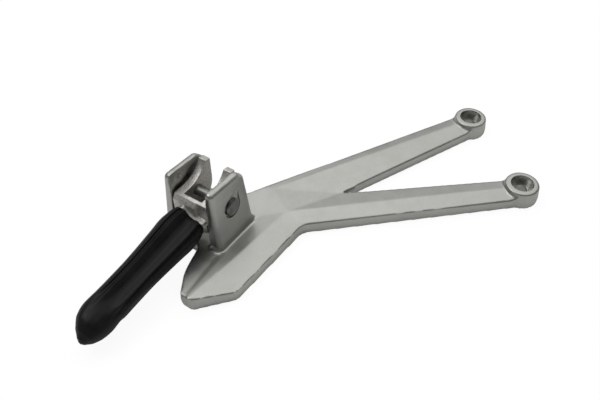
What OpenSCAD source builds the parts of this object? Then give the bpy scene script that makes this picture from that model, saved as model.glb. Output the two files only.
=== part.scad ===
// Pillion footrest hanger for a motorcycle: a forked cast bracket with a
// folding footpeg pinned between two ears. The lower bolt hole's centre on
// the mounting face is the origin, and +Z points away from the machine.

/* [Bolt bosses] */
// Outer diameter of a boss at its ring
boss_d = 26; // [24:0.5:30]
// Height of a boss above the mounting face
boss_h = 14; // [13:0.5:17]
// How much wider a boss is at its foot than at its ring
boss_draft = 1; // [0.4:0.2:1.6]
// Clearance hole for an M8 bolt
bolt_hole_d = 10; // [8.4:0.1:10.5]
// Counterbore for the bolt's flange
counterbore_d = 17.8; // [17:0.2:19]
// Depth of the counterbore
counterbore_depth = 6.8; // [5:0.2:8]
// Upper hole from the lower hole, along X
upper_hole_x = 52.6; // [46:0.2:60]
// Upper hole from the lower hole, along Y
upper_hole_y = 66.1; // [60:0.2:72]

/* [Plate] */
// Height of the plate's edge above the mounting face
wall_h = 9; // [8:0.5:11]
// Rise of the tail's ridge over the edge
tail_crown = 3; // [2:0.2:4]
// Rise of the arms' ridges over the edge
arm_crown = 1.8; // [1:0.2:2.6]
// Height of the mould's parting line on the walls
parting_h = 4.5; // [3:0.5:6]
// How far the walls lean in from the parting line
wall_draft = 0.4; // [0.2:0.1:0.8]
// Depth of the recesses in the back
recess_depth = 5; // [3:0.5:6]
// Width of the rim round the recesses
rim_w = 4; // [3:0.5:6]
// Width of the ribs across the recesses
rib_w = 3; // [2:0.5:4]
// Tail's reach past the hinge pin
tail_reach = 64.5; // [58:0.5:68]
// Plate's reach past the near ear
near_reach = 30; // [26:0.5:34]
// Radius in the fork between the arms
crotch_r = 4; // [3:0.5:6]

/* [Ears] */
// Hinge pin from the lower hole, along X
hinge_back = 160.6; // [150:0.2:170]
// Middle of the ears from the lower hole, along Y
hinge_side = 178; // [170:0.2:186]
// Height of the hinge pin above the mounting face
pin_h = 38.2; // [37:0.2:42]
// Gap between the ears
ear_gap = 31.2; // [29:0.2:34]
// Thickness of an ear at its foot
ear_foot_t = 10.3; // [9.6:0.1:12]
// Thickness of an ear at its tip
ear_tip_t = 5.8; // [5:0.1:8]
// Width of an ear at its foot
ear_foot_w = 39.6; // [38:0.2:42]
// Width of an ear at its tip
ear_tip_w = 36.4; // [33:0.1:38]
// Height of an ear over the plate
ear_h = 51.8; // [49:0.2:54]
// Radius of the ears' outer edges
ear_edge_r = 3.5; // [3:0.5:5]
// Radius of the fillet at the ears' feet
ear_fillet_r = 5; // [3:0.5:6]

/* [Hinge pin] */
// Diameter of the pin
pin_d = 8; // [7:0.1:9]
// Radial play of the pin in its holes
pin_play = 0.05; // [0.02:0.01:0.1]
// Diameter of the pin's head
head_d = 13.6; // [12:0.2:15]
// Thickness of the pin's head
head_t = 2.6; // [2:0.1:3.4]
// Diameter of the spot faces round the head and the washer
spot_d = 16.8; // [16:0.2:19]
// Depth of the spot faces from the ear's foot
spot_depth = 3.8; // [3.2:0.1:4.4]
// Diameter of the washer
washer_d = 15; // [13:0.5:16]
// Thickness of the washer
washer_t = 1.5; // [1:0.1:2]
// Wire diameter of the split pin
wire_d = 1.8; // [1.4:0.1:2.2]

/* [Detent] */
// Diameter of the detent ball
ball_d = 6; // [5:0.1:6.6]
// Radius from the pin to the ball
detent_r = 17.3; // [16.5:0.1:17.8]
// Angle through which the peg folds
fold_angle = 90; // [86:1:96]
// Depth of the round face inside each ear
inner_face_depth = 0.8; // [0.6:0.1:1]
// Radius of the round face inside each ear
inner_face_r = 17.5; // [16:0.5:18.5]

/* [Footpeg] */
// Side gap between the peg's cheeks and the ears
side_gap = 1.3; // [0.8:0.1:1.6]
// Thickness of a cheek
cheek_t = 6.4; // [6:0.2:8]
// Radius of the cheeks round the pin
cheek_r = 16.2; // [14:0.1:16.6]
// Height of the heels over the pin
heel_h = 19.2; // [17:0.2:21]
// Angle at which the peg droops when folded
droop = 6.4; // [4:0.1:8]
// Roll of the peg's section towards the near side
peg_roll = 28; // [20:1:35]
// Drop of the peg's own axis below the pin
axis_drop = 8; // [7:0.1:9]
// Distance from the pin to the rubber
rubber_start = 20.6; // [20:0.2:23]
// Length of the rubber
rubber_l = 110.4; // [100:0.2:116]
// Width of the bar in the rubber
bar_w = 12; // [9:0.5:13]
// Height of the bar in the rubber
bar_h = 8; // [7:0.5:9]
// Width of the rubber at its inner end
rubber_root_w = 28.4; // [27:0.2:29]
// Width of the rubber at its waist
rubber_waist_w = 20.2; // [19:0.2:22]
// Height of the rubber at its waist
rubber_waist_h = 18; // [17:0.2:20]
// Width of the rubber's ball end
rubber_ball_w = 25.5; // [24:0.5:28]

/* [Hidden] */
$fn = 64;
eps = 0.01;
cut = 1;

cast_silver = [0.72, 0.73, 0.71];
bare_cast = [0.83, 0.82, 0.79];
steel = [0.42, 0.42, 0.42];
bright_steel = [0.75, 0.76, 0.78];
black_rubber = [0.07, 0.07, 0.07];

// Places worked out from the driving sizes
lower_hole = [0, 0];
upper_hole = [upper_hole_x, upper_hole_y];
ear_span = ear_gap + 2 * ear_foot_t;
near_face_y = hinge_side - ear_span / 2;
far_face_y = hinge_side + ear_span / 2;
ear_top = wall_h + ear_h;
root_edge_x = ear_foot_w / 2 + 3.2;
far_margin = ear_fillet_r + 0.7;
stop_top = pin_h - cheek_r - 0.3;

// A point of the plate's root, counted from the pin and the near ear's face
function root(x, y) = [x - hinge_back, y + near_face_y];

// Plane geometry
function unit(v) = v / norm(v);
function left_of(v) = [-v[1], v[0]];
function cross2(a, b) = a[0] * b[1] - a[1] * b[0];
function xy(p) = [p[0], p[1]];
function wrap(i, n) = (i + n) % n;

// Arms: centre-line directions and half widths beside the bosses
upper_dir = unit(upper_hole - root(60, -8));
lower_dir = unit(lower_hole - root(50, -28));
upper_arm_in = 11.5;
upper_arm_out = 10.5;
lower_arm_in = 9.5;
lower_arm_out = 12.3;
fork = root(77.9, -38.5);

// Corners of the plate in plan, counter-clockwise: [x, y, corner radius]
function corner(p, r) = [p[0], p[1], r];
plate_corners = [
    corner(root(-40.5, -near_reach), 10),
    corner(root(34, -near_reach - 3), 12),
    corner(lower_hole - lower_arm_out * left_of(lower_dir), 1),
    corner(lower_hole + lower_arm_in * left_of(lower_dir), 1),
    corner(fork, crotch_r),
    corner(upper_hole - upper_arm_in * left_of(upper_dir), 1),
    corner(upper_hole + upper_arm_out * left_of(upper_dir), 1),
    corner(root(33, 23.2), 25),
    corner(root(root_edge_x + 1, ear_span + far_margin), 6),
    corner(root(-root_edge_x, ear_span + far_margin), 5),
    corner(root(-root_edge_x, 18.8), 6),
    corner(root(-47, 11.5), 30),
    corner(root(0.5 - tail_reach, 0.8), 5),
    corner(root(-tail_reach, -9.5), 5)
];

// The corner moved inwards by d from both of its edges, its arc kept concentric
function inset_corner(a, p, b, d) =
    let (u = unit(xy(p) - xy(a)), v = unit(xy(b) - xy(p)),
         turn = cross2(u, v), mid = unit(left_of(u) + left_of(v)),
         q = xy(p) + mid * d / (mid * left_of(u)))
    corner(q, turn > 0 ? max(p[2] - d, 0.8) : p[2] + d);
function inset(c, d) =
    [for (i = [0 : len(c) - 1])
        inset_corner(c[wrap(i - 1, len(c))], c[i], c[wrap(i + 1, len(c))], d)];

// A corner's arc: tangent to both edges, one point every 15 degrees of turn
function corner_arc(a, p, b) =
    let (u = unit(xy(a) - xy(p)), v = unit(xy(b) - xy(p)),
         half = acos(u * v) / 2,
         centre = xy(p) + unit(u + v) * p[2] / sin(half),
         from = xy(p) + u * p[2] / tan(half) - centre,
         turn = (180 - 2 * half) * sign(cross2(-u, v)),
         n = max(2, ceil(abs(turn) / 15)))
    [for (k = [0 : n])
        let (t = turn * k / n)
        centre + [from[0] * cos(t) - from[1] * sin(t),
                  from[0] * sin(t) + from[1] * cos(t)]];
function rounded(c) =
    [for (i = [0 : len(c) - 1])
        each corner_arc(c[wrap(i - 1, len(c))], c[i], c[wrap(i + 1, len(c))])];

// A closed skin through rings that hold equally many points, first ring lowest
module skin(rings) {
    n = len(rings[0]);
    m = len(rings);
    sides = [for (j = [0 : m - 2], i = [0 : n - 1], t = [0 : 1])
        let (a = j * n + i, b = j * n + (i + 1) % n)
        t == 0 ? [a, a + n, b] : [b, a + n, b + n]];
    first_cap = [for (i = [0 : n - 1]) i];
    last_cap = [for (i = [0 : n - 1]) m * n - 1 - i];
    polyhedron([for (r = rings) each r], concat(sides, [first_cap, last_cap]));
}

function ring(c, d, z) = [for (p = rounded(inset(c, d))) [p[0], p[1], z]];

// Walls with draft both ways from the parting line
module drafted_plate() {
    top = boss_h + cut;
    skin([
        ring(plate_corners, wall_draft * (parting_h + cut) / parting_h, -cut),
        ring(plate_corners, 0, parting_h),
        ring(plate_corners, wall_draft * (top - parting_h) / parting_h, top)
    ]);
}

// Creased top: ridges run along the tail and down each arm to its boss, and
// the surface falls from them to the edges and to the fork. Each point is
// [x, y, rise over the plate's edge].
function rise(p, z) = [p[0], p[1], wall_h + z];
past = 12;
bend = root(37, -17);
crease_points = [
    rise(root(-80, -5.5), tail_crown),
    rise(bend, tail_crown),
    rise(lower_hole + past * lower_dir, arm_crown),
    rise(root(52, 6), arm_crown + 0.2),
    rise(upper_hole + past * upper_dir, arm_crown),
    rise(fork, 0.2),
    rise(root(-80, -48), -2),
    rise(root(28, -50), -2),
    rise(lower_hole - 20 * left_of(lower_dir) + past * lower_dir, -1.6),
    rise(lower_hole + 16 * left_of(lower_dir) + past * lower_dir, -0.6),
    rise(upper_hole - 18 * left_of(upper_dir) + past * upper_dir, -1.6),
    rise(upper_hole + 17 * left_of(upper_dir) + past * upper_dir, -1),
    rise(root(40, 33), 0.6),
    rise(root(32, 62), 0.6),
    rise(root(-30, 62), 0.6),
    rise(root(-30, 26), -0.4),
    rise(root(-80, 12), -1.5),
    rise(root(-28, 1), 0.8),
    rise(root(24, -2), 1)
];
crease_facets = [
    [0, 6, 7], [0, 7, 1], [1, 7, 8], [1, 8, 2], [1, 2, 5], [5, 2, 9],
    [1, 5, 3], [3, 5, 4], [5, 10, 4], [3, 4, 11], [3, 11, 12],
    [18, 3, 12], [1, 3, 18], [18, 12, 13], [18, 13, 14], [18, 14, 15],
    [18, 15, 17], [0, 1, 18], [0, 18, 17], [0, 17, 15], [0, 15, 16]
];
crease_rim = [6, 7, 8, 2, 9, 5, 10, 4, 11, 12, 13, 14, 15, 16, 0];

module creased_top() {
    n = len(crease_points);
    m = len(crease_rim);
    tops = [for (f = crease_facets) [f[2], f[1], f[0]]];
    floors = [for (f = crease_facets) [f[0] + n, f[1] + n, f[2] + n]];
    walls = [for (i = [0 : m - 1], t = [0 : 1])
        let (a = crease_rim[i], b = crease_rim[(i + 1) % m])
        t == 0 ? [b, a + n, a] : [b, b + n, a + n]];
    polyhedron(
        concat(crease_points, [for (p = crease_points) [p[0], p[1], 0]]),
        concat(tops, floors, walls));
}

module place_upper_boss() {
    translate([upper_hole_x, upper_hole_y, 0]) children();
}

// A boss is a drafted drum with a rounded rim
rim_r = 1.2;
module boss_drum() {
    rotate_extrude()
        polygon(concat(
            [[0, 0], [boss_d / 2 + boss_draft, 0],
             [boss_d / 2 + boss_draft, parting_h]],
            [for (a = [0 : 22.5 : 90])
                [boss_d / 2 - rim_r + rim_r * cos(a), boss_h - rim_r + rim_r * sin(a)]],
            [[0, boss_h]]));
}

// Fillet between an arm's top and its boss
boss_fillet_r = 3;
module boss_fillet() {
    base = wall_h + arm_crown - 1.2;
    r = boss_d / 2 + 0.1;
    rotate_extrude()
        polygon(concat(
            [[r - 2, base - 2], [r + boss_fillet_r, base - 2]],
            [for (a = [0 : 15 : 90])
                [r + boss_fillet_r - boss_fillet_r * sin(a),
                 base + boss_fillet_r - boss_fillet_r * cos(a)]],
            [[r - 2, base + boss_fillet_r]]));
}

module boss_bores() {
    translate([0, 0, -cut]) cylinder(d = bolt_hole_d, h = boss_h + 2 * cut);
    translate([0, 0, boss_h - counterbore_depth])
        cylinder(d = counterbore_d, h = counterbore_depth + cut);
}

// An ear leans in on its outer face and both sides. Its tip falls a little
// towards the back, where its corner is rounded more. This is the near one:
// its outer face looks along -Y. Each tip point is [x, z].
ear_tip_fall = 2;
ear_back_drop = 4;
module ear_blank() {
    r = ear_edge_r;
    foot = ear_foot_w / 2 - r;
    tip = ear_tip_w / 2 - r;
    tip_y = ear_foot_t - ear_tip_t + r;
    tips = [[-tip, ear_top - r], [tip - ear_back_drop, ear_top - r - ear_tip_fall],
            [tip, ear_top - r - ear_tip_fall - ear_back_drop]];
    translate([-hinge_back, near_face_y, 0]) hull() {
        for (x = [-foot, foot])
            translate([x, r, wall_h - 2]) cylinder(r = r, h = 2, $fn = 32);
        translate([-foot - r, ear_foot_t, wall_h - 2]) cube([2 * (foot + r), 2, 2]);
        for (t = tips) {
            translate([t[0], tip_y, t[1]]) sphere(r = r, $fn = 32);
            translate([t[0], ear_foot_t + 1, t[1]]) rotate([-90, 0, 0])
                cylinder(r = r, h = 1, $fn = 32);
        }
    }
}

// Concave fillet round an ear's foot, straight runs only
module foot_fillet(l) {
    r = ear_fillet_r;
    rotate([90, 0, 90]) linear_extrude(l, center = true)
        polygon(concat(
            [[2, -2], [-r, -2]],
            [for (a = [0 : 15 : 90]) [-r + r * sin(a), r - r * cos(a)]],
            [[2, r]]));
}
module ear_fillets() {
    translate([-hinge_back, near_face_y + 0.3, wall_h]) foot_fillet(ear_foot_w - 4);
    for (side = [-1, 1])
        translate([-hinge_back + side * (ear_foot_w / 2 - 0.3), near_face_y + ear_foot_t / 2,
                   wall_h])
            rotate([0, 0, side * 90]) foot_fillet(ear_foot_t - 2);
}

module both_ears() {
    children();
    translate([0, 2 * hinge_side, 0]) mirror([0, 1, 0]) children();
}

module along_pin(y) {
    translate([-hinge_back, y, pin_h]) rotate([-90, 0, 0]) children();
}

// Spot face outside an ear: round under the pin, straight up its back side
module spot_face() {
    along_pin(near_face_y - cut) cylinder(d = spot_d, h = spot_depth + cut);
    translate([-hinge_back, near_face_y - cut, pin_h])
        cube([spot_d / 2, spot_depth + cut, ear_h]);
}

// Round faces inside the ears, on which the peg's cheeks run
module inner_faces() {
    along_pin(hinge_side - ear_gap / 2 - inner_face_depth)
        cylinder(r = inner_face_r, h = ear_gap + 2 * inner_face_depth);
}

// Dimples for the detent ball, one for each end of the peg's travel
ball_angle = 210;
dimple_angle = ball_angle - fold_angle;
dimple_sink = 1;
far_inner_y = hinge_side + ear_gap / 2;
module at_detent(angle) {
    translate([detent_r * cos(angle) - hinge_back, 0, pin_h + detent_r * sin(angle)])
        children();
}
module detent_seats() {
    for (angle = [ball_angle, dimple_angle])
        at_detent(angle) {
            translate([0, far_inner_y - cut, 0]) rotate([-90, 0, 0])
                cylinder(d = ball_d + 4.5, h = inner_face_depth + cut);
            translate([0, far_inner_y + inner_face_depth + dimple_sink - ball_d / 2, 0])
                sphere(d = ball_d + 0.4);
        }
}
// The ball runs over the face between the two dimples
track_w = 4.8;
module detent_track() {
    along_pin(far_inner_y - cut) difference() {
        cylinder(r = detent_r + track_w / 2, h = inner_face_depth + cut);
        translate([detent_r * cos(dimple_angle), -2 * detent_r, -cut])
            cube([4 * detent_r, 4 * detent_r, 4 * cut]);
    }
}

// Cross web between the ears, on which the heels land when the peg is down
module stop_web() {
    back = ear_foot_w / 2 - 1;
    translate([-hinge_back + back - 9, near_face_y + 4, wall_h - 2])
        cube([9, ear_span - 8, stop_top - wall_h + 2]);
}

// Recesses in the back, with a rim, cross ribs and solid pads left standing
module rib(from, dir, l) {
    translate(from) rotate(atan2(dir[1], dir[0])) square([rib_w, l], center = true);
}
module back_recesses() {
    span = 90;
    translate([0, 0, -cut]) linear_extrude(recess_depth + cut) difference() {
        polygon(rounded(inset(plate_corners, rim_w)));
        translate(lower_hole) circle(d = boss_d + 2 * boss_draft + 3);
        translate(upper_hole) circle(d = boss_d + 2 * boss_draft + 3);
        translate(root(-root_edge_x, -6)) square([2 * root_edge_x, ear_span + 12]);
        for (reach = [48, 84]) rib(lower_hole - reach * lower_dir, lower_dir, span);
        for (reach = [48, 88]) rib(upper_hole - reach * upper_dir, upper_dir, span);
        rib(root(50, -20), unit([1, -0.2]), span);
        rib(root(-40, -10), [1, 0], span);
    }
}

module bracket() color(cast_silver) difference() {
    union() {
        intersection() {
            drafted_plate();
            creased_top();
        }
        boss_drum();
        place_upper_boss() boss_drum();
        intersection() {
            union() {
                boss_fillet();
                place_upper_boss() boss_fillet();
            }
            drafted_plate();
        }
        difference() {
            both_ears() {
                ear_blank();
                ear_fillets();
            }
            translate([-hinge_back - ear_foot_w, hinge_side - ear_gap / 2, wall_h])
                cube([2 * ear_foot_w, ear_gap, ear_h + cut]);
        }
        stop_web();
    }
    boss_bores();
    place_upper_boss() boss_bores();
    back_recesses();
    both_ears() spot_face();
    inner_faces();
    detent_seats();
    detent_track();
    along_pin(near_face_y - cut)
        cylinder(d = pin_d + 2 * pin_play, h = ear_span + 2 * cut);
}

// Headed pin with a slightly domed head and a cross hole for the split pin
head_y = near_face_y + spot_depth;
washer_y = far_face_y - spot_depth;
split_gap = 1;
split_y = washer_y + washer_t + split_gap + wire_d / 2;
pin_end_y = split_y + wire_d / 2 + 3;
head_dome = 0.3;
module hinge_pin() color(steel) difference() {
    union() {
        along_pin(head_y) cylinder(d = pin_d, h = pin_end_y - head_y);
        along_pin(head_y) mirror([0, 0, 1]) rotate_extrude()
            polygon([[0, 0], [head_d / 2, 0], [head_d / 2, head_t - 0.8],
                     [head_d / 2 - 0.8, head_t], [head_d / 4, head_t + head_dome * 0.8],
                     [0, head_t + head_dome]]);
    }
    translate([-hinge_back, split_y, pin_h - pin_d])
        cylinder(d = wire_d + 0.3, h = 2 * pin_d);
}

module pin_washer() color(bright_steel) along_pin(washer_y) difference() {
    cylinder(d = washer_d, h = washer_t);
    translate([0, 0, -cut]) cylinder(d = pin_d + 0.4, h = washer_t + 2 * cut);
}

// Split pin: eye above, shank through the pin, legs opened below
module split_pin() color(bright_steel) translate([-hinge_back, split_y, pin_h]) {
    eye_r = wire_d * 1.1;
    reach = pin_d / 2 + 0.6;
    leg_l = 7;
    translate([0, 0, -reach]) cylinder(d = wire_d, h = 2 * reach);
    translate([0, 0, reach + eye_r]) rotate([90, 0, 0]) rotate_extrude()
        translate([eye_r, 0]) circle(d = wire_d * 0.9, $fn = 24);
    for (lean = [-1, 1])
        translate([0, 0, -reach]) rotate([0, 180 + lean * 50, 0])
            cylinder(d = wire_d * 0.8, h = leg_l);
}

// The peg's own axes: X runs from the pin out to the tip, Z up, as it lies folded.
// The pin isn't level on the machine, so the peg's section is rolled about X.
module along_peg() {
    translate([-hinge_back, hinge_side, pin_h - axis_drop]) rotate([0, 0, 180])
        rotate([0, droop, 0]) rotate([-peg_roll, 0, 0]) children();
}

// Rubber's outer section as parts of its half width and half height, from the
// middle of its upper side round one half: ribbed, with a channel between two
// ribs and a groove outside each rib, and plain, for the ball end.
ribbed_half = [[0, 0.70], [0.36, 0.74], [0.72, 0.92], [0.86, 0.70], [0.97, 0.45],
               [1, 0], [0.95, -0.5], [0.7, -0.88], [0, -1]];
plain_half = [[0, 0.96], [0.40, 0.90], [0.72, 0.72], [0.86, 0.55], [0.96, 0.32],
              [1, 0], [0.92, -0.45], [0.64, -0.80], [0, -1]];
function both_halves(h) =
    concat([for (p = h) [-p[0], p[1]]], [for (i = [len(h) - 2 : -1 : 1]) h[i]]);

// Catmull-Rom curve between q and r
function curve_at(p, q, r, s, t) =
    0.5 * (2 * q + (r - p) * t + (2 * p - 5 * q + 4 * r - s) * t * t
           + (3 * q - p - 3 * r + s) * t * t * t);
steps = 3;
function closed_curve(c) =
    [for (i = [0 : len(c) - 1], k = [0 : steps - 1])
        curve_at(c[wrap(i - 1, len(c))], c[i], c[wrap(i + 1, len(c))],
                 c[wrap(i + 2, len(c))], k / steps)];
function blend(a, b, t) = a + (b - a) * t;
ribbed = closed_curve(both_halves(ribbed_half));
plain = closed_curve(both_halves(plain_half));
function section(x, w, h, rib) =
    [for (i = [0 : len(plain) - 1])
        let (p = blend(plain[i], ribbed[i], rib))
        [x, p[0] * w / 2, p[1] * h / 2]];

// Stations along the rubber: [part of its length, width, height, rib strength]
rubber_stations = [
    [0, rubber_root_w - 1.8, rubber_waist_h + 4, 1],
    [0.03, rubber_root_w, rubber_waist_h + 6.5, 1],
    [0.12, rubber_root_w - 0.7, rubber_waist_h + 4.4, 1],
    [0.21, rubber_waist_w + 4.7, rubber_waist_h + 3.5, 1],
    [0.30, rubber_waist_w + 2.6, rubber_waist_h + 1.8, 1],
    [0.39, rubber_waist_w + 1.4, rubber_waist_h + 0.4, 1],
    [0.48, rubber_waist_w + 0.5, rubber_waist_h, 1],
    [0.57, rubber_waist_w, rubber_waist_h + 0.8, 1],
    [0.66, rubber_waist_w + 0.3, rubber_waist_h + 2.2, 0.8],
    [0.755, rubber_ball_w - 1.3, rubber_ball_w - 3.8, 0.3],
    [0.83, rubber_ball_w, rubber_ball_w - 3.5, 0],
    [0.90, rubber_ball_w * 0.87, rubber_ball_w * 0.835, 0],
    [0.955, rubber_ball_w * 0.61, rubber_ball_w * 0.63, 0],
    [0.99, rubber_ball_w * 0.28, rubber_ball_w * 0.3, 0],
    [1, rubber_ball_w * 0.1, rubber_ball_w * 0.1, 0]
];
// The stations joined by a curve, three steps between each pair
function station(i) = rubber_stations[min(max(i, 0), len(rubber_stations) - 1)];
last_gap = len(rubber_stations) - 2;
rubber_rings = [for (i = [0 : last_gap], k = [0 : steps])
    if (k < steps || i == last_gap)
    let (s = k == 0 ? station(i) : k == steps ? station(i + 1)
         : curve_at(station(i - 1), station(i), station(i + 1), station(i + 2), k / steps))
    section(rubber_start + rubber_l * s[0], s[1], s[2], s[3])];

// Bar inside the rubber, with a wider barbed head that holds the rubber on
bar_l = rubber_l * 0.86;
barb_l = 8;
barb = 2;
module bar_shape(grow) {
    translate([rubber_start, 0, 0]) {
        translate([-1, -bar_w / 2 - grow, -bar_h / 2 - grow])
            cube([bar_l + 1 + grow, bar_w + 2 * grow, bar_h + 2 * grow]);
        translate([bar_l - barb_l - grow, -bar_w / 2 - barb - grow, -bar_h / 2 - barb - grow])
            cube([barb_l + 2 * grow, bar_w + 2 * (barb + grow), bar_h + 2 * (barb + grow)]);
    }
}

// Cross grooves of the tread, on the side that is trodden on when the peg is down
bar_clearance = 0.15;
tread_pitch = 9;
tread_w = 2.2;
tread_depth = 1.4;
module footpeg_rubber() color(black_rubber) along_peg() difference() {
    skin(rubber_rings);
    bar_shape(bar_clearance);
    for (x = [0.16 * rubber_l : tread_pitch : 0.68 * rubber_l])
        translate([rubber_start + x, -rubber_root_w / 2, -rubber_root_w / 2 - 2])
            cube([tread_w, rubber_root_w,
                  rubber_root_w / 2 + 2 - rubber_waist_h / 2 + tread_depth]);
}

// Peg casting. Its fork is a side profile cut from a block: flat back, round
// under the pin, scooped along the top from the heels to the cross wall.
fork_w = ear_gap - 2 * side_gap;
fork_front = 19;
slot_front = 13.8;
heel_top_x = 10.5;
heel_fall = 1.4;
scoop_r = 23.5;
scoop_x = -8.5;
lip_z = 7.4;
lip_front = 16.6;
lip_slope = 4;
flange_t = 5.2;
flange_step = 1.2;
module fork_side() {
    difference() {
        union() {
            circle(r = cheek_r, $fn = 96);
            polygon([[0, 0], [cheek_r, 0], [cheek_r, heel_h - heel_fall],
                     [heel_top_x, heel_h], [0, heel_h]]);
            translate([-fork_front, -cheek_r]) square([fork_front, heel_h + cheek_r]);
        }
        translate([scoop_x, scoop_r + lip_z]) circle(r = scoop_r, $fn = 96);
        translate([-fork_front - cut, lip_z])
            square([fork_front + cut + scoop_x, scoop_r]);
        polygon([[-lip_front, lip_z + cut], [-lip_front, lip_z],
                 [-fork_front, lip_z - lip_slope], [-fork_front - cut, lip_z - lip_slope],
                 [-fork_front - cut, lip_z + cut]]);
    }
}
// Pocket in the near half of the fork's front, behind the lip
pocket_x = [16.4, 19.4];
pocket_y = 9.5;
pocket_z = 8;
module near_pocket() {
    translate([-hinge_back, hinge_side - fork_w / 2, pin_h - pocket_z])
        linear_extrude(3 * pocket_z)
            polygon([[-pocket_x[0], pocket_y], [-pocket_x[1], pocket_y],
                     [-pocket_x[1], -cut], [-pocket_x[0], -cut]]);
}
module cross_pin(z0, z1) {
    translate([-hinge_back, 0, pin_h]) rotate([90, 0, 0]) translate([0, 0, z0])
        linear_extrude(z1 - z0) children();
}
ball_bore_d = ball_d + 0.2;
ball_bore_l = 12;
cheek_face_y = hinge_side + fork_w / 2;
module footpeg_core() color(bare_cast) difference() {
    union() {
        difference() {
            cross_pin(-hinge_side - fork_w / 2, -hinge_side + fork_w / 2) fork_side();
            near_pocket();
        }
        along_peg() {
            skin([section(rubber_start - flange_t, rubber_root_w - 3, rubber_waist_h + 2.4, 1),
                  section(rubber_start, rubber_root_w - 1.8 - flange_step,
                          rubber_waist_h + 4 - flange_step, 1)]);
            bar_shape(0);
        }
    }
    translate([-hinge_back - slot_front, hinge_side - fork_w / 2 + cheek_t, 0])
        cube([3 * cheek_r, fork_w - 2 * cheek_t, 2 * pin_h]);
    along_pin(hinge_side - fork_w) cylinder(d = pin_d + 2 * pin_play, h = 2 * fork_w);
    at_detent(ball_angle) translate([0, cheek_face_y - ball_bore_l, 0]) rotate([-90, 0, 0])
        cylinder(d = ball_bore_d, h = ball_bore_l + cut);
}

// The ball stands just clear of the ear's running face
ball_y = far_inner_y + inner_face_depth - 0.1 - ball_d / 2;
module detent_ball() color(bright_steel)
    at_detent(ball_angle) translate([0, ball_y, 0]) sphere(d = ball_d);

// Coil spring under the ball: separate rings closed up to one stack by a helix
spring_wire = 0.8;
spring_turns = 4;
module detent_spring() color(steel) at_detent(ball_angle) {
    bottom = cheek_face_y - ball_bore_l + spring_wire / 2 + 0.05;
    top = ball_y - ball_d / 2 - spring_wire / 2 - 0.05;
    coil_r = ball_bore_d / 2 - spring_wire / 2 - 0.3;
    n = 16 * spring_turns;
    rings = [for (k = [0 : n])
        let (a = 360 * spring_turns * k / n, y = blend(bottom, top, k / n))
        [for (j = [0 : 7])
            let (r = coil_r + spring_wire / 2 * cos(45 * j))
            [r * cos(a), y + spring_wire / 2 * sin(45 * j), r * sin(a)]]];
    skin(rings);
}

bracket();
hinge_pin();
pin_washer();
split_pin();
footpeg_core();
footpeg_rubber();
detent_ball();
detent_spring();
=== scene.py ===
"""Looks of a passenger footrest hanger: a forked aluminium casting with a
folding, rubber-covered footpeg pinned between its two ears.

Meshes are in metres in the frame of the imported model. The sizes of the pieces
and finishes are in millimetres, because the part is drawn in them.
"""

from __future__ import annotations

import logging
import math
from dataclasses import dataclass
from enum import Enum

import bmesh
import bpy
import numpy as np
from mathutils import Matrix, Vector


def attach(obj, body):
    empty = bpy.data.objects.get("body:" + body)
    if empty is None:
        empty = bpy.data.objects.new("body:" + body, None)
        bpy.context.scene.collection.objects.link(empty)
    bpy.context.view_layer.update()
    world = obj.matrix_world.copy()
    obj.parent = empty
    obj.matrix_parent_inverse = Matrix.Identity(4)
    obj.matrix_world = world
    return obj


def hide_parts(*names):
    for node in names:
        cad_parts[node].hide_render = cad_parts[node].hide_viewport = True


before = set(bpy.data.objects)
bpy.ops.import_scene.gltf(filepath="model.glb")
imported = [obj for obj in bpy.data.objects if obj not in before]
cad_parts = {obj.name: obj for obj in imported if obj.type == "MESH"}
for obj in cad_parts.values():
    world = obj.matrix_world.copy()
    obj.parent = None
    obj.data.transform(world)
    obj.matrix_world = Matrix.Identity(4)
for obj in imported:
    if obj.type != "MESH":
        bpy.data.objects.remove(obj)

logging.basicConfig(level=logging.INFO, format="%(message)s")
LOG = logging.getLogger("footrest")

MM = 0.001
Array = np.ndarray


class Slot(Enum):
    """Names of the record's material slots for the new pieces; the pieces here don't use them.
    """

    CASTING = "cast_aluminium"
    PEG_CASTING = "bare_aluminium"
    RUBBER = "black_rubber"


class Body(Enum):
    """The bodies that the new pieces ride on."""

    HANGER = "hanger"
    FOOTPEG = "footpeg"


# Colour and nodes


def linked(name: str, data: bpy.types.ID) -> bpy.types.Object:
    """Makes an object for some data and puts it in the scene.

    Args:
        name: The object's name.
        data: Its mesh, lamp or camera data.

    Returns:
        The object, at the origin.
    """
    made = bpy.data.objects.new(name, data)
    bpy.context.scene.collection.objects.link(made)
    return made


def linear(hex_colour: str) -> tuple[float, float, float, float]:
    """Turns an sRGB hex colour into the linear colour that a shader wants.

    Args:
        hex_colour: Six hex digits, with or without a leading #.

    Returns:
        Linear red, green, blue and an alpha of 1.
    """
    digits = hex_colour.lstrip("#")
    part = np.array([int(digits[i : i + 2], 16) for i in (0, 2, 4)]) / 255
    rgb = np.where(part <= 0.04045, part / 12.92, ((part + 0.055) / 1.055) ** 2.4)
    return (float(rgb[0]), float(rgb[1]), float(rgb[2]), 1.0)


def add_node(
    tree: bpy.types.NodeTree,
    kind: str,
    settings: dict[str, object] | None = None,
    **inputs: object,
) -> bpy.types.Node:
    """Adds one node, sets its properties and fills or links its inputs.

    Args:
        tree: The node tree that gets the node.
        kind: The node's Blender type name.
        settings: Properties of the node itself, by name.
        **inputs: Values or output sockets, by input name with _ for a space;
            in0, in1 and so on count the inputs instead.

    Returns:
        The new node.
    """
    node = tree.nodes.new(kind)
    for name, value in (settings or {}).items():
        setattr(node, name, value)
    for name, value in inputs.items():
        counted = name[:2] == "in" and name[2:].isdigit()
        socket = node.inputs[int(name[2:]) if counted else name.replace("_", " ")]
        if isinstance(value, bpy.types.NodeSocket):
            tree.links.new(value, socket)
        else:
            socket.default_value = value
    return node


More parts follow.
